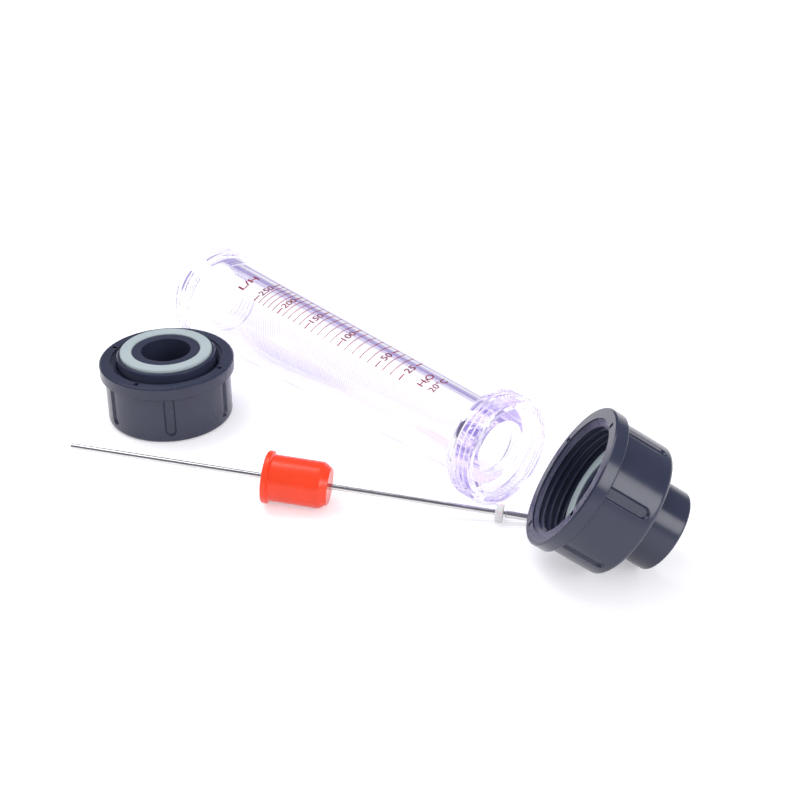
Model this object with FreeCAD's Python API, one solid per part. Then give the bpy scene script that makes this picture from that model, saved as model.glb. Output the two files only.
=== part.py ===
import FreeCAD, Part
import math
import os

# Plastic-tube rotameter taken apart for cleaning and laid out on a bench.
#
# Four groups rest on the plane z = 0:
#   - the tapered metering tube, lying on its two threaded ends;
#   - the upper union, standing: nut, end connector and gasket, mouth up;
#   - the lower union, tipped over: nut, end connector and gasket;
#   - the guide rod with its float, stop disc and end sleeve.
# Lengths are in millimetres, +Z is up, and the origin is on the bench plane
# under the middle of the layout.

V = FreeCAD.Vector

# ---- union thread, shared by the tube ends and the nuts ----
THREAD_PITCH = 2.309        # 11 turns to the inch
THREAD_MAJOR_D = 39.4       # over the crests on the tube
THREAD_DEPTH = 1.5
THREAD_FLANK_W = 2.0        # width of a turn at its root
THREAD_CREST_W = 0.5
THREAD_PLAY = 0.25          # radial play between nut and tube threads
THREAD_CHAMFER = 1.0
CUT_START = 0.15            # thread cutters start this far clear of the surface

# ---- metering tube ----
TUBE_LENGTH = 171.7
TUBE_RING_LENGTH = 10.8
TUBE_OD_LOWER = 29.0        # barrel, beside the lower ring
TUBE_OD_UPPER = 36.0        # barrel, beside the upper ring
TUBE_BORE_LOWER = 20.6
TUBE_BORE_UPPER = 27.0
TUBE_MOUTH_D = 32.0
TUBE_MOUTH_DEPTH = 3.5
TUBE_MOUTH_CHAMFER = 0.4
TUBE_NECK_FILLET = 0.8
KEY_BOSS_D = 4.4            # moulded half-round key inside the lower mouth
KEY_BOSS_RECESS = 0.6       # from the end face to the key
KEY_BOSS_ANGLE = 50.0       # from the bench side of the tube

# ---- end connector ----
FLANGE_D = 36.6
FLANGE_THICKNESS = 8.1
FLANGE_EDGE = 0.4
FLANGE_LIP = 1.25           # thin outer lip round the gasket groove
FLANGE_LIP_DROP = 0.7       # the lip's top lies this far below the land
LAND_D = 25.3               # inner land inside the groove, which is the flange face
CONNECTOR_LENGTH = 26.8
CONNECTOR_BORE_D = 18.4
SPIGOT_D = 28.4
SPIGOT_EDGE = 0.8
SOCKET_D = 20.2             # for 20 mm pipe
SOCKET_DEPTH = 15.5
SOCKET_CHAMFER = 0.6

# ---- gasket ----
GASKET_THICKNESS = 3.0
GASKET_PROUD = 0.5
GASKET_PLAY = 0.05
GASKET_EDGE = 0.35

# ---- union nut ----
NUT_HEIGHT = 23.6
NUT_BODY_D = 46.6
NUT_CORNER = 1.8
COLLAR_D = 50.0
COLLAR_HEIGHT = 5.05
COLLAR_EDGE = 0.5
NUT_MOUTH_D = 41.8
NUT_LEAD_IN = 0.6           # plain bore before the first turn
NUT_WALL = 5.0              # back wall behind the flange
NUT_RELIEF = 3.0            # plain groove between thread and back wall
RELIEF_STEP = 0.08          # that groove is this much deeper than the thread
THREAD_RUN_OUT = 0.3        # the thread starts this far inside the plain groove
NUT_FIT = 0.35              # radial gap round the spigot
SEAT_GAP = 0.25             # the loose flange lies this far off the nut's back wall
FLUTE_COUNT = 6
FLUTE_WIDTH = 4.3           # across the top of a flute
FLUTE_FLOOR_WIDTH = 3.0
FLUTE_DEPTH = 0.8
FLUTE_END_GAP = 3.0         # from the flute's round end to the back face
SLOT_COUNT = 4
SLOT_LENGTH = 1.9
SLOT_WIDTH = 1.6
SLOT_DEPTH = 1.5
SLOT_GAP = 0.3              # from the mouth's edge to a slot

# ---- guide rod, its fittings and the float ----
ROD_D = 2.0
ROD_LENGTH = 175.8
ROD_TIP = 0.3
SLEEVE_D = 2.5
SLEEVE_LENGTH = 22.7
STOP_D = 6.1
STOP_THICKNESS = 2.7
STOP_GAP = 0.8              # from the sleeve to the stop disc
FLOAT_RIM_D = 18.4
FLOAT_RIM_HEIGHT = 1.8
FLOAT_RIM_CHAMFER = 0.6
FLOAT_BODY_D = 16.2
FLOAT_LENGTH = 22.55
FLOAT_NOSE_D = 12.6
FLOAT_NOSE_HEIGHT = 2.7
FLOAT_NOSE_ROUND = 2.4      # where the body turns into the nose
FLOAT_EDGE = 0.4
FLOAT_FIT = 0.075           # radial gap round the rod
FLOAT_TOP_AT = 106.0        # float's top face, from the rod's lower end

# ---- layout on the bench: place and heading of each group ----
TUBE_AT = (47.78, -41.12)            # under the lower end face
TUBE_HEADING = 131.3
UPPER_UNION_AT = (-75.56, 23.13)
UPPER_UNION_TURN = -22.4
LOWER_UNION_AT = (65.11, -74.89)     # under the centre of the nut's mouth
LOWER_UNION_HEADING = 175.8         # the way the mouth looks
ROD_FLOAT_AT = (-34.99, -38.70)      # under the float's top face
ROD_HEADING = 169.8                 # from the lower end to the top end


def turned(points):
    """Solid of revolution about Z from (radius, height) corners."""
    corners = [V(r, 0, z) for r, z in points]
    face = Part.Face(Part.makePolygon(corners + corners[:1]))
    return face.revolve(V(0, 0, 0), V(0, 0, 1), 360)


def helical_cutter(radius, depth, wide, narrow, low, high):
    """Helical trapezoid from radius, depth deep (negative inwards), for cutting a thread."""
    helix = Part.makeHelix(THREAD_PITCH, high - low, radius)
    tip_radius = radius + depth
    corners = [V(radius, 0, -wide / 2), V(tip_radius, 0, -narrow / 2),
               V(tip_radius, 0, narrow / 2), V(radius, 0, wide / 2)]
    profile = Part.makePolygon(corners + corners[:1])
    cutter = Part.Wire(helix.Edges).makePipeShell([profile], True, True)
    if cutter.Volume < 0:
        cutter.reverse()
    cutter.translate(V(0, 0, low))
    return cutter


def male_thread(length):
    """Threaded ring standing on z = 0, with chamfered ends."""
    crest = THREAD_MAJOR_D / 2
    root = crest - THREAD_DEPTH
    ring = turned([(0, 0), (root, 0), (crest, THREAD_CHAMFER),
                   (crest, length - THREAD_CHAMFER), (root, length), (0, length)])
    flare = (THREAD_FLANK_W - THREAD_CREST_W) / THREAD_DEPTH * CUT_START
    wide = THREAD_PITCH - THREAD_CREST_W + flare
    narrow = THREAD_PITCH - THREAD_FLANK_W
    groove = helical_cutter(crest + CUT_START, -THREAD_DEPTH - CUT_START, wide, narrow,
                            -THREAD_PITCH, length + THREAD_PITCH)
    return ring.cut(groove)


def metering_tube():
    """Tapered tube with a threaded ring on each end; z = 0 is the lower end face."""
    upper_ring_at = TUBE_LENGTH - TUBE_RING_LENGTH
    barrel_length = upper_ring_at - TUBE_RING_LENGTH
    overlap = 1.0
    slope = (TUBE_OD_UPPER - TUBE_OD_LOWER) / 2 / barrel_length
    low_r = TUBE_OD_LOWER / 2
    high_r = TUBE_OD_UPPER / 2
    fillet = TUBE_NECK_FILLET
    barrel = turned([
        (0, TUBE_RING_LENGTH - overlap), (low_r + fillet, TUBE_RING_LENGTH - overlap),
        (low_r + fillet, TUBE_RING_LENGTH), (low_r + slope * fillet, TUBE_RING_LENGTH + fillet),
        (high_r - slope * fillet, upper_ring_at - fillet), (high_r + fillet / 2, upper_ring_at),
        (high_r + fillet / 2, upper_ring_at + overlap), (0, upper_ring_at + overlap)])
    lower_ring = male_thread(TUBE_RING_LENGTH)
    upper_ring = lower_ring.translated(V(0, 0, upper_ring_at))
    outside = barrel.fuse([lower_ring, upper_ring])
    mouth, chamfer = TUBE_MOUTH_D / 2, TUBE_MOUTH_CHAMFER
    inside = turned([
        (0, -overlap), (mouth + chamfer + overlap, -overlap), (mouth, chamfer),
        (mouth, TUBE_MOUTH_DEPTH), (TUBE_BORE_LOWER / 2, TUBE_MOUTH_DEPTH),
        (TUBE_BORE_UPPER / 2, TUBE_LENGTH - TUBE_MOUTH_DEPTH),
        (mouth, TUBE_LENGTH - TUBE_MOUTH_DEPTH), (mouth, TUBE_LENGTH - chamfer),
        (mouth + chamfer + overlap, TUBE_LENGTH + overlap), (0, TUBE_LENGTH + overlap)])
    tube = outside.cut(inside)
    angle = math.radians(KEY_BOSS_ANGLE)
    base = V(mouth * math.cos(angle), mouth * math.sin(angle), KEY_BOSS_RECESS)
    key = Part.makeCylinder(KEY_BOSS_D / 2, TUBE_MOUTH_DEPTH + overlap - KEY_BOSS_RECESS, base)
    key = key.common(Part.makeCylinder(mouth + chamfer, TUBE_LENGTH))
    return tube.fuse(key).removeSplitter()


def end_connector():
    """Flanged pipe connector; z = 0 is the flange face, the spigot points down."""
    flange, edge = FLANGE_D / 2, FLANGE_EDGE
    groove = flange - FLANGE_LIP
    land = LAND_D / 2
    lip = -FLANGE_LIP_DROP
    groove_floor = -(GASKET_THICKNESS - GASKET_PROUD)
    spigot, bevel = SPIGOT_D / 2, SPIGOT_EDGE
    socket = SOCKET_D / 2
    end, under = -CONNECTOR_LENGTH, -FLANGE_THICKNESS
    body = turned([
        (CONNECTOR_BORE_D / 2, 0), (land, 0), (land, groove_floor), (groove, groove_floor),
        (groove, lip), (flange - edge, lip), (flange, lip - edge), (flange, under + edge),
        (flange - edge, under), (spigot, under), (spigot, end), (socket + SOCKET_CHAMFER, end),
        (socket, end + SOCKET_CHAMFER), (socket, end + SOCKET_DEPTH),
        (CONNECTOR_BORE_D / 2, end + SOCKET_DEPTH)])
    rim = [e for e in body.Edges if on_circle(e, spigot, end)]
    return body.makeFillet(bevel, rim)


def on_circle(edge, radius, height):
    """True for a circular edge about Z with that radius and height."""
    curve = edge.Curve
    if not isinstance(curve, Part.Circle):
        return False
    return abs(curve.Radius - radius) < 1e-3 and abs(curve.Center.z - height) < 1e-3


def gasket():
    """Flat ring gasket as it sits in the flange groove; z = 0 is the flange face."""
    inner = LAND_D / 2 + GASKET_PLAY
    outer = FLANGE_D / 2 - FLANGE_LIP - GASKET_PLAY
    top = GASKET_PROUD
    edge = GASKET_EDGE
    return turned([(inner, top - GASKET_THICKNESS), (outer, top - GASKET_THICKNESS),
                   (outer, top - edge), (outer - edge, top), (inner + edge, top),
                   (inner, top - edge)])


def flute(angle):
    """Cutter for one shallow grip flute with sloping sides, round at the back end."""
    floor_r = NUT_BODY_D / 2 - FLUTE_DEPTH
    slope = (FLUTE_WIDTH - FLUTE_FLOOR_WIDTH) / 2 / FLUTE_DEPTH
    reach = FLUTE_DEPTH + 1.0
    half_in = FLUTE_FLOOR_WIDTH / 2
    half_out = half_in + slope * reach
    end_z = -(NUT_HEIGHT - FLUTE_END_GAP - FLUTE_WIDTH / 2)
    corners = [V(floor_r, -half_in, end_z), V(floor_r + reach, -half_out, end_z),
               V(floor_r + reach, half_out, end_z), V(floor_r, half_in, end_z)]
    section = Part.Face(Part.makePolygon(corners + corners[:1]))
    straight = section.extrude(V(0, 0, -COLLAR_HEIGHT - end_z))
    end = Part.makeCone(half_in, half_out, reach, V(floor_r, 0, end_z), V(1, 0, 0))
    cutter = straight.fuse(end)
    cutter.rotate(V(0, 0, 0), V(0, 0, 1), angle)
    return cutter


def face_slot(angle):
    """Cutter for one short radial slot in the collar's front face."""
    cutter = Part.makeBox(SLOT_LENGTH, SLOT_WIDTH, SLOT_DEPTH + 1,
                          V(NUT_MOUTH_D / 2 + SLOT_GAP, -SLOT_WIDTH / 2, -SLOT_DEPTH))
    cutter.rotate(V(0, 0, 0), V(0, 0, 1), angle)
    return cutter


def union_nut():
    """Threaded union nut; z = 0 is the mouth, the back face is at -NUT_HEIGHT."""
    collar, body, edge = COLLAR_D / 2, NUT_BODY_D / 2, COLLAR_EDGE
    back = -NUT_HEIGHT
    shoulder = back + NUT_WALL
    minor = THREAD_MAJOR_D / 2 - THREAD_DEPTH + THREAD_PLAY * 2
    major = THREAD_MAJOR_D / 2 + THREAD_PLAY
    mouth = NUT_MOUTH_D / 2
    lead_end = -NUT_LEAD_IN - (mouth - minor) / 2
    hole = SPIGOT_D / 2 + NUT_FIT
    relief_at = shoulder + NUT_RELIEF
    nut = turned([
        (mouth, 0), (collar - edge, 0), (collar, -edge), (collar, edge - COLLAR_HEIGHT),
        (collar - edge, -COLLAR_HEIGHT), (body, -COLLAR_HEIGHT), (body, back), (hole, back),
        (hole, shoulder), (major, shoulder), (major, relief_at), (minor, relief_at),
        (minor, lead_end), (mouth, -NUT_LEAD_IN)])
    corner = [e for e in nut.Edges if on_circle(e, body, back)]
    nut = nut.makeFillet(NUT_CORNER, corner)
    depth = major - RELIEF_STEP - minor + CUT_START
    groove = helical_cutter(minor - CUT_START, depth, THREAD_FLANK_W, THREAD_CREST_W,
                            relief_at - THREAD_RUN_OUT, -NUT_LEAD_IN - THREAD_FLANK_W / 2)
    nut = nut.cut(groove)
    cutters = [flute(i * 360.0 / FLUTE_COUNT) for i in range(FLUTE_COUNT)]
    cutters += [face_slot(i * 360.0 / SLOT_COUNT) for i in range(SLOT_COUNT)]
    return nut.cut(Part.Compound(cutters))


def guide_rod():
    """Straight rod; z = 0 is its lower end."""
    tip, r = ROD_TIP, ROD_D / 2
    return turned([(0, 0), (r - tip, 0), (r, tip), (r, ROD_LENGTH - tip),
                   (r - tip, ROD_LENGTH), (0, ROD_LENGTH)])


def end_sleeve():
    """Crimped sleeve on the rod's lower end."""
    tip, r, bore = ROD_TIP, SLEEVE_D / 2, ROD_D / 2
    return turned([(bore, 0), (r - tip / 2, 0), (r, tip), (r, SLEEVE_LENGTH - tip),
                   (r - tip / 2, SLEEVE_LENGTH), (bore, SLEEVE_LENGTH)])


def stop_disc():
    """Soft stop disc pushed on the rod just above the sleeve."""
    low = SLEEVE_LENGTH + STOP_GAP
    high = low + STOP_THICKNESS
    tip, r, bore = ROD_TIP, STOP_D / 2, ROD_D / 2
    return turned([(bore, low), (r - tip, low), (r, low + tip), (r, high - tip),
                   (r - tip, high), (bore, high)])


def metering_float():
    """Float with its wide metering rim at the top; z is measured along the rod."""
    top = FLOAT_TOP_AT
    nose = top - FLOAT_LENGTH
    rim, body, nose_r = FLOAT_RIM_D / 2, FLOAT_BODY_D / 2, FLOAT_NOSE_D / 2
    bore = ROD_D / 2 + FLOAT_FIT
    rim_under = top - FLOAT_RIM_HEIGHT
    edge = FLOAT_EDGE
    shape = turned([
        (bore, nose), (nose_r, nose), (body, nose + FLOAT_NOSE_HEIGHT),
        (body, rim_under - FLOAT_RIM_CHAMFER), (rim, rim_under), (rim, top - edge),
        (rim - edge, top), (bore, top)])
    turn_in = [e for e in shape.Edges if on_circle(e, body, nose + FLOAT_NOSE_HEIGHT)]
    return shape.makeFillet(FLOAT_NOSE_ROUND, turn_in)


def placed(shape, at, heading, lean, turn=0.0):
    """Turn a shape about its own Z, lean it from upright, head it and move it."""
    turn_z = FreeCAD.Rotation(V(0, 0, 1), turn)
    lean_y = FreeCAD.Rotation(V(0, 1, 0), lean)
    head_z = FreeCAD.Rotation(V(0, 0, 1), heading)
    shape = shape.copy()
    shape.Placement = FreeCAD.Placement(at, head_z.multiply(lean_y).multiply(turn_z))
    return shape


def rod_slope():
    """Angle of the rod when its sleeve's end and the float touch the bench."""
    rim_contact = FLOAT_TOP_AT - FLOAT_RIM_HEIGHT
    by_rim = math.atan2((FLOAT_RIM_D - SLEEVE_D) / 2, rim_contact - ROD_TIP)
    turn_in = math.atan2((FLOAT_BODY_D - FLOAT_NOSE_D) / 2, FLOAT_NOSE_HEIGHT)
    along = (FLOAT_TOP_AT - FLOAT_LENGTH + FLOAT_NOSE_HEIGHT
             + FLOAT_NOSE_ROUND * math.tan(turn_in / 2) - ROD_TIP)
    across = (FLOAT_BODY_D - SLEEVE_D) / 2 - FLOAT_NOSE_ROUND
    by_body = math.atan2(across, along) + math.asin(FLOAT_NOSE_ROUND / math.hypot(along, across))
    return max(by_rim, by_body)


def lower_union_tilt():
    """Angle of the tipped union's axis: its nut's corner and spigot's end touch the bench."""
    flange_at = NUT_HEIGHT - NUT_WALL - SEAT_GAP - FLANGE_THICKNESS
    along = (flange_at + CONNECTOR_LENGTH - SPIGOT_EDGE) - (NUT_HEIGHT - NUT_CORNER)
    across = (NUT_BODY_D / 2 - NUT_CORNER) - (SPIGOT_D / 2 - SPIGOT_EDGE)
    return math.atan2(across, along) + math.asin((NUT_CORNER - SPIGOT_EDGE) / math.hypot(along, across))


def lay_tube(parts):
    at = V(TUBE_AT[0], TUBE_AT[1], THREAD_MAJOR_D / 2)
    parts["metering_tube"] = placed(metering_tube(), at, TUBE_HEADING, 90)


def stand_upper_union(parts):
    nut_at = V(UPPER_UNION_AT[0], UPPER_UNION_AT[1], NUT_HEIGHT)
    flange_at = V(UPPER_UNION_AT[0], UPPER_UNION_AT[1], CONNECTOR_LENGTH)
    parts["upper_union_nut"] = placed(union_nut(), nut_at, 0, 0, UPPER_UNION_TURN)
    parts["upper_end_connector"] = placed(end_connector(), flange_at, 0, 0)
    parts["upper_gasket"] = placed(gasket(), flange_at, 0, 0)


def lay_lower_union(parts):
    tilt = lower_union_tilt()
    lean = 90 - math.degrees(tilt)
    nut_end = NUT_HEIGHT - NUT_CORNER
    mouth_z = (nut_end * math.sin(tilt) + (NUT_BODY_D / 2 - NUT_CORNER) * math.cos(tilt)
               + NUT_CORNER)
    mouth = V(LOWER_UNION_AT[0], LOWER_UNION_AT[1], mouth_z)
    heading = math.radians(LOWER_UNION_HEADING)
    axis = V(math.cos(tilt) * math.cos(heading), math.cos(tilt) * math.sin(heading), math.sin(tilt))
    flange = mouth - axis * (NUT_HEIGHT - NUT_WALL - SEAT_GAP - FLANGE_THICKNESS)
    parts["lower_union_nut"] = placed(union_nut(), mouth, LOWER_UNION_HEADING, lean)
    parts["lower_end_connector"] = placed(end_connector(), flange, LOWER_UNION_HEADING, lean)
    parts["lower_gasket"] = placed(gasket(), flange, LOWER_UNION_HEADING, lean)


def lay_rod(parts):
    slope = rod_slope()
    heading = math.radians(ROD_HEADING)
    axis = V(math.cos(slope) * math.cos(heading), math.cos(slope) * math.sin(heading),
             math.sin(slope))
    low_z = SLEEVE_D / 2 * math.cos(slope) - ROD_TIP * math.sin(slope)
    float_top = V(ROD_FLOAT_AT[0], ROD_FLOAT_AT[1], low_z + FLOAT_TOP_AT * math.sin(slope))
    low_end = float_top - axis * FLOAT_TOP_AT
    lean = 90 - math.degrees(slope)
    pieces = {"guide_rod": guide_rod(), "rod_end_sleeve": end_sleeve(),
              "rod_stop_disc": stop_disc(), "float": metering_float()}
    for name, shape in pieces.items():
        parts[name] = placed(shape, low_end, ROD_HEADING, lean)


def main():
    parts = {}
    lay_tube(parts)
    stand_upper_union(parts)
    lay_lower_union(parts)
    lay_rod(parts)
    os.makedirs("parts", exist_ok=True)
    for name, shape in parts.items():
        shape.exportStep(os.path.join("parts", name + ".step"))
    return parts


main()
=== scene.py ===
import math

import bpy
import bmesh
from mathutils import Matrix, Vector


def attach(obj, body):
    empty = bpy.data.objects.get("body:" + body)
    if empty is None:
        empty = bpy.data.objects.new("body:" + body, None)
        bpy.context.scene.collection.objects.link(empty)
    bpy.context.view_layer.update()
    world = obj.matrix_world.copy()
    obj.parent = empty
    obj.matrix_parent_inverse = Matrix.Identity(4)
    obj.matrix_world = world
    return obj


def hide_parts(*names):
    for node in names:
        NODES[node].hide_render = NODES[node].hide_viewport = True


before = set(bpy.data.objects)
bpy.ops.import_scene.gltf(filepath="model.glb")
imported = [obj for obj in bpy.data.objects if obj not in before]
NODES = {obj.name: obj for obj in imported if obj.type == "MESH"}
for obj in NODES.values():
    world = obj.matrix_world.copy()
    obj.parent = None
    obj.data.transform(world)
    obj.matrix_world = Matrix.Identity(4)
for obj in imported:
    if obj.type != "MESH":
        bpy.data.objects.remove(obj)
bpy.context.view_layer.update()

MM = 0.001
BENCH_BODY = "laid_out_set"


# ---------------------------------------------------------------- layout and tube, in metres
TUBE_LOW_END = Vector((47.78, -41.12, 19.70)) * MM
TUBE_HEADING = math.radians(131.3)
TUBE_AXIS = Vector((math.cos(TUBE_HEADING), math.sin(TUBE_HEADING), 0.0))
TUBE_ACROSS = Vector((math.sin(TUBE_HEADING), -math.cos(TUBE_HEADING), 0.0))
TUBE_RING = 10.8 * MM
TUBE_LENGTH = 171.7 * MM
BARREL_LOW_R = 14.5 * MM
BARREL_HIGH_R = 18.0 * MM
BORE_LOW_R = 10.3 * MM
BORE_HIGH_R = 13.5 * MM
MOUTH_R = 16.0 * MM
MOUTH_DEPTH = 3.5 * MM
MOUTH_CHAMFER = 0.4 * MM
NECK_FILLET = 0.8 * MM
KEY_R = 2.2 * MM
KEY_ANGLE = math.radians(50.0)
KEY_FROM_FACE = 0.6 * MM
CREST_R = 19.7 * MM
ROOT_R = 18.2 * MM
THREAD_PITCH = 2.309 * MM
CREST_FLAT_HALF = 0.25 * MM
ROOT_FLAT_HALF = 0.1545 * MM
CREST_ROUND = 0.32 * MM
ROOT_ROUND = 0.2 * MM
CHAMFER_RISE = 1.5                   # the thread's end chamfers rise this much per unit length
ROD_HEADING = math.radians(169.8)
ROD_SLOPE = math.radians(4.529)

# ---------------------------------------------------------------- fineness of the tube's mesh
THREAD_SIDES = 224
ROUND_STEPS = 3
FILLET_STEPS = 4
CONE_STEPS = 14
SEAM_GAP = 0.002 * MM
SHARP_EDGE = math.radians(38.0)

# ---------------------------------------------------------------- printed scale
PRINT_LIFT = 0.03 * MM
PRINT_THICKNESS = 0.05 * MM
MARK_NEAR = math.radians(-33.5)      # edge of the marks on the near flank
MARK_FAR = math.radians(10.0)        # edge of the marks past the crown
THIN_LINE = 0.34 * MM
HEAVY_LINE = 0.56 * MM
DASH_LENGTH = 3.0 * MM
MARK_PIECE = 0.8 * MM                # longest edge of a wrapped mark, and of a letter
LETTER_PIECE = 0.6 * MM
LETTER_BOLD = 0.012
FLOW_MARKS = {25: 46.0, 30: 50.7, 40: 54.8, 50: 58.5}      # mm from the lower face
LAST_LISTED_FLOW = 50
MARK_STEP = 0.4405                   # mm for one litre an hour beyond the listed marks
MARK_STEP_LOSS = 0.00045             # and how that shrinks as the flow grows
LONG_FLOWS = (25, 50, 100, 150, 200, 250)
NUMBER_HEIGHT, NUMBER_ANGLE = 3.1, -12.0
# text, height in mm, degrees off the crown line, mm from the lower face for its place and for
# the barrel radius that it takes, and how much it is widened
LETTERING = (("L/H", 3.4, -14.0, 139.0, 139.0, 1.35), ("H", 3.0, -22.0, 37.1, 36.0, 1.0),
             ("2", 1.8, -15.0, 36.2, 36.0, 1.0), ("O", 3.0, -7.5, 37.1, 36.0, 1.0),
             ("20°C", 3.0, -12.0, 31.6, 36.0, 0.95))

# ---------------------------------------------------------------- bench, light and camera
BENCH_HALF = 3.0
CLEAR_BOUNCES = 72                   # the threaded rings turn light round many times
CAMERA_PLACE = Vector((11.404, -505.375, 301.458)) * MM
CAMERA_PITCH = math.radians(29.330)
CAMERA_ROLL = math.radians(-0.500)
CAMERA_LENS, CAMERA_SENSOR = 72.0, 36.0


def flow_height(flow):
    """Distance of a flow's mark from the tube's lower face, in millimetres."""
    if flow in FLOW_MARKS:
        return FLOW_MARKS[flow]
    over = flow - LAST_LISTED_FLOW
    return FLOW_MARKS[LAST_LISTED_FLOW] + MARK_STEP * over - MARK_STEP_LOSS * over * over


def barrel_radius(s):
    """Outer radius of the tapered barrel at s metres from the lower face."""
    share = (s - TUBE_RING) / (TUBE_LENGTH - 2 * TUBE_RING)
    return BARREL_LOW_R + share * (BARREL_HIGH_R - BARREL_LOW_R)


def on_barrel(across, s):
    """Point of the print's underside: across is the arc from the crown line, s the height."""
    r = barrel_radius(s)
    angle = across / r
    side = TUBE_ACROSS * math.sin(angle) + Vector((0, 0, 1)) * math.cos(angle)
    return TUBE_LOW_END + TUBE_AXIS * s + side * (r + PRINT_LIFT)


# ---------------------------------------------------------------- node helpers
def add(tree, kind, inputs=(), **settings):
    """Add a node: first its settings, then its inputs, each a constant or another's output."""
    node = tree.nodes.new(kind)
    for key, value in settings.items():
        setattr(node, key, value)
    for key, value in dict(inputs).items():
        if isinstance(value, bpy.types.NodeSocket):
            tree.links.new(value, node.inputs[key])
        else:
            node.inputs[key].default_value = value
    return node


def maths(tree, operation, *values):
    return add(tree, "ShaderNodeMath", enumerate(values), operation=operation).outputs[0]


def new_material(name):
    mat = bpy.data.materials.new(name)
    mat.use_nodes = True
    mat.node_tree.nodes.clear()
    return mat


def finish_material(mat, shader):
    add(mat.node_tree, "ShaderNodeOutputMaterial", {"Surface": shader.outputs[0]})
    return mat


def two_tones(tree, fac, low, high, places=(0.0, 1.0)):
    """Colour that runs from low to high with fac, between two places."""
    ramp = add(tree, "ShaderNodeValToRGB", {"Fac": fac})
    for element, place, color in zip(ramp.color_ramp.elements, places, (low, high)):
        element.position = place
        element.color = (*color, 1)
    return ramp.outputs["Color"]


def stretched(tree, turn, stretch):
    """Object coordinates turned along a piece, so that a pattern is drawn out along it."""
    place = add(tree, "ShaderNodeTexCoord")
    along = add(tree, "ShaderNodeMapping", {"Vector": place.outputs["Object"], "Rotation": turn},
                vector_type="TEXTURE")
    return add(tree, "ShaderNodeMapping", {
        "Vector": along.outputs["Vector"], "Scale": (stretch, 1.0, 1.0)}).outputs["Vector"]


def seen_directly(tree):
    """1 for what is seen directly, in a reflection or through the clear tube."""
    path = add(tree, "ShaderNodeLightPath").outputs
    first = maths(tree, "MAXIMUM", path["Is Camera Ray"], path["Is Glossy Ray"])
    return maths(tree, "MAXIMUM", first, path["Is Transmission Ray"])


def moulded_surface_group():
    """Grain, mottling, faint scuffs and softened edges of a moulded surface."""
    g = bpy.data.node_groups.new("moulded_surface", "ShaderNodeTree")
    for name, way, kind in (
            ("Color", "INPUT", "Color"), ("Mottle", "INPUT", "Float"),
            ("Roughness", "INPUT", "Float"), ("Grain Size", "INPUT", "Float"),
            ("Grain Height", "INPUT", "Float"), ("Scuffs", "INPUT", "Float"),
            ("Color", "OUTPUT", "Color"), ("Roughness", "OUTPUT", "Float"),
            ("Normal", "OUTPUT", "Vector")):
        g.interface.new_socket(name=name, in_out=way, socket_type="NodeSocket" + kind)
    inp = add(g, "NodeGroupInput").outputs
    place = add(g, "ShaderNodeTexCoord").outputs["Object"]
    grain = add(g, "ShaderNodeTexNoise", {
        "Vector": place, "Scale": maths(g, "DIVIDE", 1000.0, inp["Grain Size"]),
        "Detail": 3.0, "Roughness": 0.6})
    broad = add(g, "ShaderNodeTexNoise", {"Vector": place, "Scale": 90.0, "Detail": 4.0})
    swing = add(g, "ShaderNodeMapRange", {
        "Value": broad.outputs["Fac"], "From Min": 0.3, "From Max": 0.7,
        "To Min": -1.0, "To Max": 1.0})
    amount = maths(g, "MULTIPLY_ADD", swing.outputs["Result"], inp["Mottle"], 1.0)
    tone = add(g, "ShaderNodeVectorMath", {0: inp["Color"], "Scale": amount}, operation="SCALE")
    scratch = add(g, "ShaderNodeTexNoise", {
        "Vector": place, "Scale": 420.0, "Detail": 6.0, "Distortion": 1.6})
    mask = add(g, "ShaderNodeMapRange", {
        "Value": scratch.outputs["Fac"], "From Min": 0.58, "From Max": 0.72})
    rough = maths(g, "MULTIPLY_ADD", mask.outputs["Result"], inp["Scuffs"], inp["Roughness"])
    bevel = add(g, "ShaderNodeBevel", {"Radius": 0.3 * MM}, samples=6)
    bump = add(g, "ShaderNodeBump", {
        "Distance": 0.05 * MM, "Strength": inp["Grain Height"],
        "Height": grain.outputs["Fac"], "Normal": bevel.outputs["Normal"]})
    add(g, "NodeGroupOutput", {
        "Color": tone.outputs[0], "Roughness": rough, "Normal": bump.outputs["Normal"]})
    return g


MOULDED = moulded_surface_group()


def moulded(name, color, roughness, mottle, grain, height, scuffs, depth=()):
    """Moulded plastic or rubber; depth holds the shader's own subsurface constants."""
    mat = new_material(name)
    tree = mat.node_tree
    surface = add(tree, "ShaderNodeGroup", {
        "Color": (*color, 1.0), "Mottle": mottle, "Roughness": roughness, "Grain Size": grain,
        "Grain Height": height, "Scuffs": scuffs}, node_tree=MOULDED).outputs
    return finish_material(mat, add(tree, "ShaderNodeBsdfPrincipled", {
        **dict(depth), "Base Color": surface["Color"], "Roughness": surface["Roughness"],
        "Normal": surface["Normal"]}))


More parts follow.
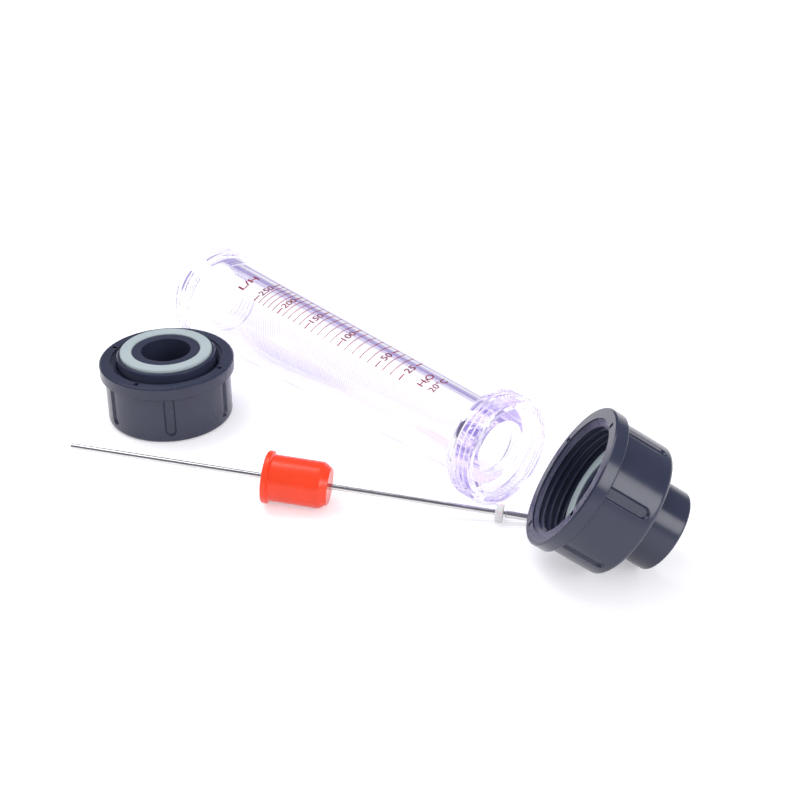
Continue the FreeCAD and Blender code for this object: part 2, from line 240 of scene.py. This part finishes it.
def clear_plastic(name, tint, absorbed, density):
    """Clear moulded plastic: lilac by depth, slightly wavy, and lamps shine through it."""
    mat = new_material(name)
    tree = mat.node_tree
    wave = add(tree, "ShaderNodeTexNoise", {
        "Vector": stretched(tree, (0.0, 0.0, TUBE_HEADING), 0.12), "Scale": 150.0, "Detail": 2.0})
    bump = add(tree, "ShaderNodeBump", {
        "Strength": 0.06, "Distance": 0.1 * MM, "Height": wave.outputs["Fac"]})
    glass = add(tree, "ShaderNodeBsdfPrincipled", {
        "Base Color": (*tint, 1.0), "Transmission Weight": 1.0, "IOR": 1.49, "Roughness": 0.0,
        "Normal": bump.outputs["Normal"]})
    lamp_side = add(tree, "ShaderNodeBsdfTransparent", {"Color": (0.97, 0.96, 0.985, 1.0)})
    path = add(tree, "ShaderNodeLightPath")
    pick = add(tree, "ShaderNodeMixShader", {
        0: path.outputs["Is Shadow Ray"], 1: glass.outputs[0], 2: lamp_side.outputs[0]})
    depth = add(tree, "ShaderNodeVolumeAbsorption", {
        "Color": (*absorbed, 1.0), "Density": density})
    add(tree, "ShaderNodeOutputMaterial", {
        "Surface": pick.outputs[0], "Volume": depth.outputs[0]})
    return mat


def drawn_steel(name):
    """Drawn stainless rod: fine streaks along its length."""
    mat = new_material(name)
    tree = mat.node_tree
    streak = add(tree, "ShaderNodeTexNoise", {
        "Vector": stretched(tree, (0.0, -ROD_SLOPE, ROD_HEADING), 0.03), "Scale": 4000.0,
        "Detail": 3.0}).outputs["Fac"]
    rough = add(tree, "ShaderNodeMapRange", {"Value": streak, "To Min": 0.10, "To Max": 0.24})
    bump = add(tree, "ShaderNodeBump", {
        "Strength": 0.15, "Distance": 0.02 * MM, "Height": streak})
    tone = two_tones(tree, streak, (0.56, 0.545, 0.54), (0.78, 0.765, 0.76), (0.3, 0.7))
    return finish_material(mat, add(tree, "ShaderNodeBsdfPrincipled", {
        "Metallic": 1.0, "Base Color": tone, "Roughness": rough.outputs["Result"],
        "Normal": bump.outputs["Normal"]}))


def white_cloth(name):
    """Fine white cloth on the bench; through the clear tube its far part shows a painted lilac
    shade, a glow that stands in for a dim far backdrop.
    """
    mat = new_material(name)
    tree = mat.node_tree
    place = add(tree, "ShaderNodeTexCoord").outputs["Object"]
    warp, weft = (add(tree, "ShaderNodeTexWave", {
        "Vector": place, "Scale": scale, "Distortion": 0.6},
        wave_type="BANDS", bands_direction=way).outputs["Fac"]
        for scale, way in ((400.0, "X"), (220.0, "Y")))
    weave = maths(tree, "MULTIPLY_ADD", warp, 0.6, maths(tree, "MULTIPLY", weft, 0.4))
    tone = two_tones(tree, weave, (0.62, 0.61, 0.67), (1.0, 1.0, 1.0))
    bent = add(tree, "ShaderNodeLightPath").outputs["Is Transmission Ray"]
    level = maths(tree, "MULTIPLY_ADD", bent, -0.10,
                  maths(tree, "MULTIPLY", seen_directly(tree), 0.50))
    cloth = add(tree, "ShaderNodeBsdfDiffuse", {"Color": tone})
    glow = add(tree, "ShaderNodeEmission", {"Color": tone, "Strength": level})
    total = add(tree, "ShaderNodeAddShader", {0: cloth.outputs[0], 1: glow.outputs[0]})
    # Painted shade: past this depth, rays bent through the tube find a lilac glow in place of the
    # cloth, standing in for a dimmer far backdrop.
    depth = add(tree, "ShaderNodeSeparateXYZ", {0: place})
    behind = add(tree, "ShaderNodeMapRange", {
        "Value": depth.outputs["Y"], "From Min": 0.16, "From Max": 0.50},
        interpolation_type="SMOOTHSTEP")
    lilac = add(tree, "ShaderNodeEmission", {"Color": (0.50, 0.42, 0.76, 1)})
    return finish_material(mat, add(tree, "ShaderNodeMixShader", {
        0: maths(tree, "MULTIPLY", behind.outputs["Result"], bent),
        1: total.outputs[0], 2: lilac.outputs[0]}))


# ---------------------------------------------------------------- materials
FITTING_GREY = moulded("slate_grey_fitting", (0.032, 0.037, 0.072), roughness=0.20, mottle=0.08,
                       grain=0.9, height=0.03, scuffs=0.08)
GASKET_GREY = moulded("pale_grey_gasket", (0.42, 0.50, 0.53), roughness=0.55, mottle=0.05,
                      grain=0.35, height=0.25, scuffs=0.10)
FLOAT_RED = moulded("orange_red_float", (0.97, 0.056, 0.012), roughness=0.24, mottle=0.05,
                    grain=0.9, height=0.03, scuffs=0.06)
STOP_WHITE = moulded("milky_stop", (0.93, 0.93, 0.95), roughness=0.35, mottle=0.04, grain=0.3,
                     height=0.1, scuffs=0.05,
                     depth={"Subsurface Weight": 0.4, "Subsurface Scale": 0.002})
PRINT_RED = moulded("crimson_print", (0.40, 0.010, 0.040), roughness=0.5, mottle=0.10, grain=0.15,
                    height=0.2, scuffs=0.2)
CLEAR_TUBE = clear_plastic("clear_acrylic", (0.99, 0.985, 1.0), absorbed=(0.88, 0.82, 1.0),
                           density=9.0)

for material, nodes in (
        (drawn_steel("drawn_steel"), ("guide_rod",)),
        (drawn_steel("crimped_sleeve_steel"), ("rod_end_sleeve",)),
        (STOP_WHITE, ("rod_stop_disc",)), (FLOAT_RED, ("float",)),
        (FITTING_GREY, ("upper_union_nut", "upper_end_connector",
                        "lower_union_nut", "lower_end_connector")),
        (GASKET_GREY, ("upper_gasket", "lower_gasket"))):
    for node in nodes:
        mesh = NODES[node].data
        mesh.materials.clear()
        mesh.materials.append(material)


# ---------------------------------------------------------------- mesh helpers
def linked(name, data):
    """A new object in the scene, at the origin and unturned."""
    obj = bpy.data.objects.new(name, data)
    bpy.context.scene.collection.objects.link(obj)
    return obj


def run_tree(obj, group, values):
    """Give the object a Geometry Nodes modifier and set its inputs by name."""
    modifier = obj.modifiers.new(group.name, "NODES")
    modifier.node_group = group
    for item in group.interface.items_tree:
        if item.in_out == "INPUT" and item.name in values:
            modifier[item.identifier] = values[item.name]


def plain_mesh(obj, name):
    """The evaluated object as a plain mesh; the working object is removed."""
    bpy.context.view_layer.update()
    graph = bpy.context.evaluated_depsgraph_get()
    mesh = bpy.data.meshes.new_from_object(obj.evaluated_get(graph))
    mesh.name = name
    for slot in reversed(range(len(mesh.materials))):
        if mesh.materials[slot] is None:
            mesh.materials.pop(index=slot)
    data = obj.data
    bpy.data.objects.remove(obj)
    if isinstance(data, bpy.types.Mesh):
        bpy.data.meshes.remove(data)
    return mesh


class Tree:
    """A Geometry Nodes tree under construction, with short calls for its nodes and maths."""

    def __init__(self, name, inputs):
        self.group = bpy.data.node_groups.new(name, "GeometryNodeTree")
        for label, kind in (("Geometry", "Geometry"), *inputs):
            self.group.interface.new_socket(name=label, in_out="INPUT",
                                            socket_type="NodeSocket" + kind)
        self.group.interface.new_socket(name="Geometry", in_out="OUTPUT",
                                        socket_type="NodeSocketGeometry")
        self.inp = self.node("NodeGroupInput")
        self.out = add(self.group, "NodeGroupOutput").inputs[0]

    def node(self, kind, inputs=(), **settings):
        """The outputs of a new node."""
        return add(self.group, kind, inputs, **settings).outputs

    def maths(self, operation, *values):
        return maths(self.group, operation, *values)

    def attribute(self, name, kind="FLOAT"):
        return self.node("GeometryNodeInputNamedAttribute", {"Name": name},
                         data_type=kind)["Attribute"]

    def finish(self, geometry, material):
        """Paint the geometry, hand it out and return the group."""
        done = self.node("GeometryNodeSetMaterial", {"Geometry": geometry, "Material": material})
        self.group.links.new(done[0], self.out)
        return self.group


# ---------------------------------------------------------------- metering tube
def rounded_corners(corners, radii, steps):
    """A line of (height, radius) corners with each inner corner rounded by its own radius."""
    line = [corners[0]]
    for before, here, after, fillet in zip(corners, corners[1:], corners[2:], radii):
        p = Vector(here)
        into, away = (Vector(before) - p).normalized(), (Vector(after) - p).normalized()
        half = into.angle(away) / 2
        reach = fillet / math.tan(half)
        centre = p + (into + away).normalized() * (fillet / math.sin(half))
        start, end = p + into * reach - centre, p + away * reach - centre
        sweep = start.angle_signed(end)
        for i in range(steps + 1):
            line.append(tuple(centre + Matrix.Rotation(-sweep * i / steps, 2) @ start))
    return line + [corners[-1]]


def thread_rows(low, high):
    """Rows of one threaded ring, each of which climbs one pitch in a turn."""
    mid = THREAD_PITCH / 2
    corners = [(0.0, ROOT_R), (ROOT_FLAT_HALF, ROOT_R), (mid - CREST_FLAT_HALF, CREST_R),
               (mid + CREST_FLAT_HALF, CREST_R), (THREAD_PITCH - ROOT_FLAT_HALF, ROOT_R),
               (THREAD_PITCH, ROOT_R)]
    rounds = (ROOT_ROUND, CREST_ROUND, CREST_ROUND, ROOT_ROUND)
    turn = rounded_corners(corners, rounds, ROUND_STEPS)[:-1]
    rows = []
    start = low - THREAD_PITCH
    while start < high:
        rows += [(start + height, radius, low, high, 1.0, 0.0) for height, radius in turn]
        start += THREAD_PITCH
    return rows + [(start, ROOT_R, low, high, 1.0, 0.0)]


def plain_row(height, radius, key=0.0):
    """A level ring; key is 1 where the mouth's wall has its small round key."""
    return (height, radius, height, height, 0.0, key)


def cone_rows(from_height, from_radius, to_height, to_radius):
    """Level rings of a cone from one height and radius to another."""
    steps = [i / CONE_STEPS for i in range(CONE_STEPS + 1)]
    return [plain_row(from_height + (to_height - from_height) * t,
                      from_radius + (to_radius - from_radius) * t) for t in steps]


def tube_rows():
    """The tube's whole skin from the lower end face, up the outside and down the bore."""
    low_neck, high_neck = TUBE_RING, TUBE_LENGTH - TUBE_RING
    low_end, high_end = low_neck + 2 * NECK_FILLET, high_neck - 2 * NECK_FILLET
    angles = [math.radians(90 * i / FILLET_STEPS) for i in range(FILLET_STEPS + 1)]
    rows = thread_rows(0.0, low_neck)
    rows += [plain_row(low_neck + NECK_FILLET * (1 - math.cos(a)),
                       barrel_radius(low_neck) + NECK_FILLET * (1 - math.sin(a))) for a in angles]
    rows += cone_rows(low_end, barrel_radius(low_end), high_end, barrel_radius(high_end))
    rows += [plain_row(high_neck - NECK_FILLET / 2 * (1 - math.sin(a)),
                       barrel_radius(high_neck) + NECK_FILLET / 2 * (1 - math.cos(a)))
             for a in angles]
    rows += thread_rows(high_neck, TUBE_LENGTH)
    rows += [plain_row(TUBE_LENGTH, MOUTH_R + MOUTH_CHAMFER),
             plain_row(TUBE_LENGTH - MOUTH_CHAMFER, MOUTH_R),
             plain_row(TUBE_LENGTH - MOUTH_DEPTH, MOUTH_R)]
    rows += cone_rows(TUBE_LENGTH - MOUTH_DEPTH, BORE_HIGH_R, MOUTH_DEPTH, BORE_LOW_R)
    rows += [plain_row(MOUTH_DEPTH, MOUTH_R, 1.0), plain_row(KEY_FROM_FACE, MOUTH_R, 1.0),
             plain_row(KEY_FROM_FACE, MOUTH_R), plain_row(MOUTH_CHAMFER, MOUTH_R),
             plain_row(0.0, MOUTH_R + MOUTH_CHAMFER), plain_row(0.0, ROOT_R)]
    return rows


def swept_tube_tree():
    """Turn rows into a closed skin: each row is a ring, or one turn of a helix in its limits."""
    t = Tree("swept_tube", (
        ("Sides", "Int"), ("Pitch", "Float"), ("Root Radius", "Float"), ("Chamfer Rise", "Float"),
        ("Key Radius", "Float"), ("Key Place Radius", "Float"), ("Key Angle", "Float"),
        ("Turn", "Rotation"), ("Place", "Vector"), ("Plastic", "Material")))
    inp, m = t.inp, t.maths
    rows = t.node("GeometryNodeAttributeDomainSize", {"Geometry": inp["Geometry"]})
    across = m("ADD", inp["Sides"], 1.0)
    grid = t.node("GeometryNodeMeshGrid", {
        "Size X": 1.0, "Size Y": 1.0, "Vertices X": rows["Point Count"], "Vertices Y": across})
    index = t.node("GeometryNodeInputIndex")[0]
    row = m("FLOOR", m("DIVIDE", m("ADD", index, 0.5), across))
    column = m("SUBTRACT", index, m("MULTIPLY", row, across))

    def of_row(name):
        return t.node("GeometryNodeSampleIndex", {
            "Geometry": inp["Geometry"], "Value": t.attribute(name), "Index": row},
            data_type="FLOAT", domain="POINT")[0]

    turn = m("DIVIDE", column, inp["Sides"])
    angle = m("MULTIPLY", turn, math.tau)
    low, high, helical = of_row("low"), of_row("high"), of_row("helical")
    climb = m("MULTIPLY", m("MULTIPLY", helical, inp["Pitch"]), turn)
    height = m("MAXIMUM", m("MINIMUM", m("ADD", of_row("row_height"), climb), high), low)
    from_end = m("MINIMUM", m("SUBTRACT", height, low), m("SUBTRACT", high, height))
    limit = m("MULTIPLY_ADD", from_end, inp["Chamfer Rise"], inp["Root Radius"])
    limit = m("ADD", limit, m("SUBTRACT", 1.0, helical))
    radius = m("MINIMUM", of_row("row_radius"), limit)
    off_key = m("SUBTRACT", angle, inp["Key Angle"])
    ahead = m("MULTIPLY", m("COSINE", off_key), inp["Key Place Radius"])
    aside = m("MULTIPLY", m("SINE", off_key), inp["Key Place Radius"])
    inside = m("SUBTRACT", m("POWER", inp["Key Radius"], 2.0), m("POWER", aside, 2.0))
    on_key = m("MULTIPLY", m("GREATER_THAN", inside, 0.0), m("GREATER_THAN", ahead, 0.0))
    on_key = m("MULTIPLY", on_key, of_row("key"))
    key_face = m("SUBTRACT", ahead, m("SQRT", m("MAXIMUM", inside, 0.0)))
    radius = m("MULTIPLY_ADD", on_key, m("SUBTRACT", key_face, radius), radius)
    point = t.node("ShaderNodeCombineXYZ", {
        "X": m("MULTIPLY", radius, m("COSINE", angle)),
        "Y": m("MULTIPLY", radius, m("SINE", angle)), "Z": height})
    skin = t.node("GeometryNodeSetPosition", {"Geometry": grid["Mesh"], "Position": point[0]})
    closed = t.node("GeometryNodeMergeByDistance", {"Geometry": skin[0], "Distance": SEAM_GAP})
    outward = t.node("GeometryNodeFlipFaces", {"Mesh": closed[0]})
    smooth = t.node("GeometryNodeSetShadeSmooth", {
        "Geometry": outward[0], "Shade Smooth": True}, domain="FACE")
    bend = t.node("GeometryNodeInputMeshEdgeAngle")["Unsigned Angle"]
    creased = t.node("GeometryNodeSetShadeSmooth", {
        "Geometry": smooth[0], "Selection": m("GREATER_THAN", bend, SHARP_EDGE),
        "Shade Smooth": False}, domain="EDGE")
    placed = t.node("GeometryNodeTransform", {
        "Geometry": creased[0], "Translation": inp["Place"], "Rotation": inp["Turn"]})
    return t.finish(placed[0], inp["Plastic"])


def metering_tube():
    """The clear tube, swept from its rows by Geometry Nodes."""
    rows = tube_rows()
    mesh = bpy.data.meshes.new("tube_rows")
    mesh.from_pydata([(0.0, 0.0, 0.001 * i) for i in range(len(rows))], [], [])
    for i, name in enumerate(("row_height", "row_radius", "low", "high", "helical", "key")):
        mesh.attributes.new(name, "FLOAT", "POINT").data.foreach_set("value", [r[i] for r in rows])
    obj = linked("tube_rows", mesh)
    run_tree(obj, swept_tube_tree(), {
        "Sides": THREAD_SIDES, "Pitch": THREAD_PITCH, "Root Radius": ROOT_R,
        "Chamfer Rise": CHAMFER_RISE, "Key Radius": KEY_R, "Key Place Radius": MOUTH_R,
        "Key Angle": KEY_ANGLE, "Turn": (0.0, math.pi / 2, TUBE_HEADING),
        "Place": tuple(TUBE_LOW_END), "Plastic": CLEAR_TUBE})
    return linked("clear_metering_tube", plain_mesh(obj, "clear_metering_tube"))


TUBE = metering_tube()
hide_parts("metering_tube")
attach(TUBE, BENCH_BODY)


# ---------------------------------------------------------------- printed scale
def print_marks_tree():
    """Marks laid out flat: one long thin mark, or a short heavy dash at each edge."""
    t = Tree("print_marks", (("Thin Line", "Float"), ("Heavy Line", "Float"),
                             ("Dash Length", "Float"), ("Ink", "Material")))
    inp, m = t.inp, t.maths
    heavy, near, far = t.attribute("heavy", "BOOLEAN"), t.attribute("near"), t.attribute("far")
    light = t.node("FunctionNodeBooleanMath", {0: heavy}, operation="NOT")[0]

    def marks(selection, centre, length, width):
        strip = t.node("GeometryNodeMeshGrid", {
            "Size X": 1.0, "Size Y": 1.0, "Vertices X": 25, "Vertices Y": 2})
        shift = t.node("ShaderNodeCombineXYZ", {"X": centre})
        move = t.node("GeometryNodeSetPosition", {
            "Geometry": inp["Geometry"], "Offset": shift[0]})
        size = t.node("ShaderNodeCombineXYZ", {"X": length, "Y": width, "Z": 1.0})
        return t.node("GeometryNodeInstanceOnPoints", {
            "Points": move["Geometry"], "Selection": selection, "Instance": strip["Mesh"],
            "Scale": size[0]})["Instances"]

    half_dash = m("MULTIPLY", inp["Dash Length"], 0.5)
    middle = m("MULTIPLY", m("ADD", near, far), 0.5)
    join = add(t.group, "GeometryNodeJoinGeometry")
    for part in (marks(light, middle, m("SUBTRACT", far, near), inp["Thin Line"]),
                 marks(heavy, m("ADD", near, half_dash), inp["Dash Length"], inp["Heavy Line"]),
                 marks(heavy, m("SUBTRACT", far, half_dash), inp["Dash Length"],
                       inp["Heavy Line"])):
        t.group.links.new(part, join.inputs[0])
    real = t.node("GeometryNodeRealizeInstances", {0: join.outputs[0]})
    return t.finish(real[0], inp["Ink"])


def wrap_print(mesh, longest):
    """Cut the flat print fine enough, wrap it on the barrel and give it thickness."""
    work = bmesh.new()
    work.from_mesh(mesh)
    bmesh.ops.triangulate(work, faces=work.faces)
    for _ in range(6):
        long_edges = [e for e in work.edges if e.calc_length() > longest]
        if not long_edges:
            break
        bmesh.ops.subdivide_edges(work, edges=long_edges, cuts=1)
        bmesh.ops.triangulate(work, faces=work.faces)
    for v in work.verts:
        v.co = on_barrel(v.co.x, v.co.y)
    bmesh.ops.recalc_face_normals(work, faces=work.faces)
    for f in work.faces:
        out = f.calc_center_median() - TUBE_LOW_END
        out -= TUBE_AXIS * out.dot(TUBE_AXIS)
        if f.normal.dot(out) < 0:
            f.normal_flip()
    bmesh.ops.solidify(work, geom=work.faces[:], thickness=-PRINT_THICKNESS)
    bmesh.ops.recalc_face_normals(work, faces=work.faces)
    work.to_mesh(mesh)
    work.free()
    return mesh


def scale_marks():
    """One mark for each flow, heavy and broken in two beside a number."""
    flows = [25, 30, 40] + list(range(50, 251, 10))
    places = [(0.0, flow_height(q) * MM, 0.0) for q in flows]
    radii = [barrel_radius(p[1]) for p in places]
    mesh = bpy.data.meshes.new("mark_places")
    mesh.from_pydata(places, [], [])
    for name, kind, values in (("heavy", "BOOLEAN", [q in LONG_FLOWS for q in flows]),
                               ("near", "FLOAT", [r * MARK_NEAR for r in radii]),
                               ("far", "FLOAT", [r * MARK_FAR for r in radii])):
        mesh.attributes.new(name, kind, "POINT").data.foreach_set("value", values)
    obj = linked("mark_places", mesh)
    run_tree(obj, print_marks_tree(), {
        "Thin Line": THIN_LINE, "Heavy Line": HEAVY_LINE, "Dash Length": DASH_LENGTH,
        "Ink": PRINT_RED})
    return linked("scale_marks", wrap_print(plain_mesh(obj, "scale_marks"), MARK_PIECE))


def flat_text(body, height, centre, squeeze):
    """Text as a flat mesh, centred on (across, s) in metres."""
    curve = bpy.data.curves.new("lettering", "FONT")
    curve.body = body
    curve.align_x = "CENTER"
    curve.align_y = "CENTER"
    curve.resolution_u = 6
    curve.offset = LETTER_BOLD
    mesh = plain_mesh(linked("lettering", curve), "lettering")
    xs = [v.co.x for v in mesh.vertices]
    ys = [v.co.y for v in mesh.vertices]
    mx, my = (max(xs) + min(xs)) / 2, (max(ys) + min(ys)) / 2
    k = height / (max(ys) - min(ys))
    for v in mesh.vertices:
        v.co = Vector(((v.co.x - mx) * k * squeeze + centre[0], (v.co.y - my) * k + centre[1], 0))
    return mesh


def scale_lettering():
    """The numbers, the unit, and the note on the fluid and its temperature."""
    numbers = [(str(flow), NUMBER_HEIGHT, NUMBER_ANGLE, flow_height(flow), flow_height(flow), 1.0)
               for flow in LONG_FLOWS]
    whole = bmesh.new()
    for body, height, angle, s, radius_at, squeeze in (*numbers, *LETTERING):
        across = barrel_radius(radius_at * MM) * math.radians(angle)
        piece = flat_text(body, height * MM, (across, s * MM), squeeze)
        whole.from_mesh(piece)
        bpy.data.meshes.remove(piece)
    bmesh.ops.remove_doubles(whole, verts=whole.verts, dist=1e-7)
    mesh = bpy.data.meshes.new("scale_lettering")
    whole.to_mesh(mesh)
    whole.free()
    mesh.materials.append(PRINT_RED)
    return linked("scale_lettering", wrap_print(mesh, LETTER_PIECE))


for printed in (scale_marks(), scale_lettering()):
    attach(printed, BENCH_BODY)


# ---------------------------------------------------------------- bench, light, camera
def bench():
    """The wide cloth that the pieces lie on."""
    mesh = bpy.data.meshes.new("bench_cloth")
    mesh.from_pydata([(x * BENCH_HALF, y * BENCH_HALF, 0)
                      for x, y in ((-1, -1), (1, -1), (1, 1), (-1, 1))], [], [(0, 1, 2, 3)])
    mesh.materials.append(white_cloth("white_cloth"))
    linked("bench_cloth", mesh)


def studio_world():
    """White all round; above the horizon, mirrored rays find a dim room and bent rays lilac."""
    world = bpy.data.worlds.new("studio")
    bpy.context.scene.world = world
    world.use_nodes = True
    tree = world.node_tree
    tree.nodes.clear()
    heading = add(tree, "ShaderNodeTexCoord")
    split = add(tree, "ShaderNodeSeparateXYZ", {0: heading.outputs["Generated"]})
    height = add(tree, "ShaderNodeMapRange", {
        "Value": split.outputs["Z"], "From Min": 0.02, "From Max": 0.24},
        interpolation_type="SMOOTHSTEP")
    path = add(tree, "ShaderNodeLightPath").outputs
    seen = seen_directly(tree)
    not_camera = add(tree, "ShaderNodeMath", {0: seen, 1: path["Is Camera Ray"]},
                     operation="SUBTRACT", use_clamp=True)
    dim = maths(tree, "MULTIPLY", height.outputs["Result"], not_camera.outputs[0])
    upper = add(tree, "ShaderNodeMix", {
        "A": (0.19, 0.20, 0.24, 1), "B": (0.44, 0.37, 0.70, 1),
        "Factor": path["Is Transmission Ray"]}, data_type="RGBA")
    shade = add(tree, "ShaderNodeMix", {
        "A": (1.0, 1.0, 1.0, 1), "B": upper.outputs["Result"], "Factor": dim}, data_type="RGBA")
    level = add(tree, "ShaderNodeMapRange", {"Value": seen, "To Min": 0.78, "To Max": 1.0})
    back = add(tree, "ShaderNodeBackground", {
        "Color": shade.outputs["Result"], "Strength": level.outputs["Result"]})
    add(tree, "ShaderNodeOutputWorld", {"Surface": back.outputs[0]})


def softbox(name, place, size, power):
    """A rectangular lamp that faces the middle of the set."""
    lamp = bpy.data.lights.new(name, "AREA")
    lamp.shape = "RECTANGLE"
    lamp.size, lamp.size_y = size
    lamp.energy = power
    obj = linked(name, lamp)
    obj.location = place
    obj.rotation_euler = (-Vector(place)).to_track_quat("-Z", "Y").to_euler()


def camera():
    """The camera, level in heading, pitched down and rolled a little."""
    data = bpy.data.cameras.new("camera")
    data.lens = CAMERA_LENS
    data.sensor_width = CAMERA_SENSOR
    data.clip_start = 0.01
    data.clip_end = 20.0
    obj = linked("camera", data)
    ahead = Vector((0.0, math.cos(CAMERA_PITCH), -math.sin(CAMERA_PITCH)))
    right = Vector((1.0, 0.0, 0.0))
    up = right.cross(ahead)
    right, up = (right * math.cos(CAMERA_ROLL) + up * math.sin(CAMERA_ROLL),
                 up * math.cos(CAMERA_ROLL) - right * math.sin(CAMERA_ROLL))
    turn = Matrix((right, up, -ahead)).transposed().to_4x4()
    obj.matrix_world = Matrix.Translation(CAMERA_PLACE) @ turn
    bpy.context.scene.camera = obj


bench()
studio_world()
softbox("right_softbox", (0.85, -0.80, 0.55), (0.65, 0.50), 4.6)
softbox("top_softbox", (-0.45, 0.35, 1.15), (0.8, 0.8), 6.0)
camera()
for limit in ("max_bounces", "transmission_bounces", "glossy_bounces"):
    setattr(bpy.context.scene.cycles, limit, CLEAR_BOUNCES)
bpy.context.scene.view_settings.view_transform = "Standard"
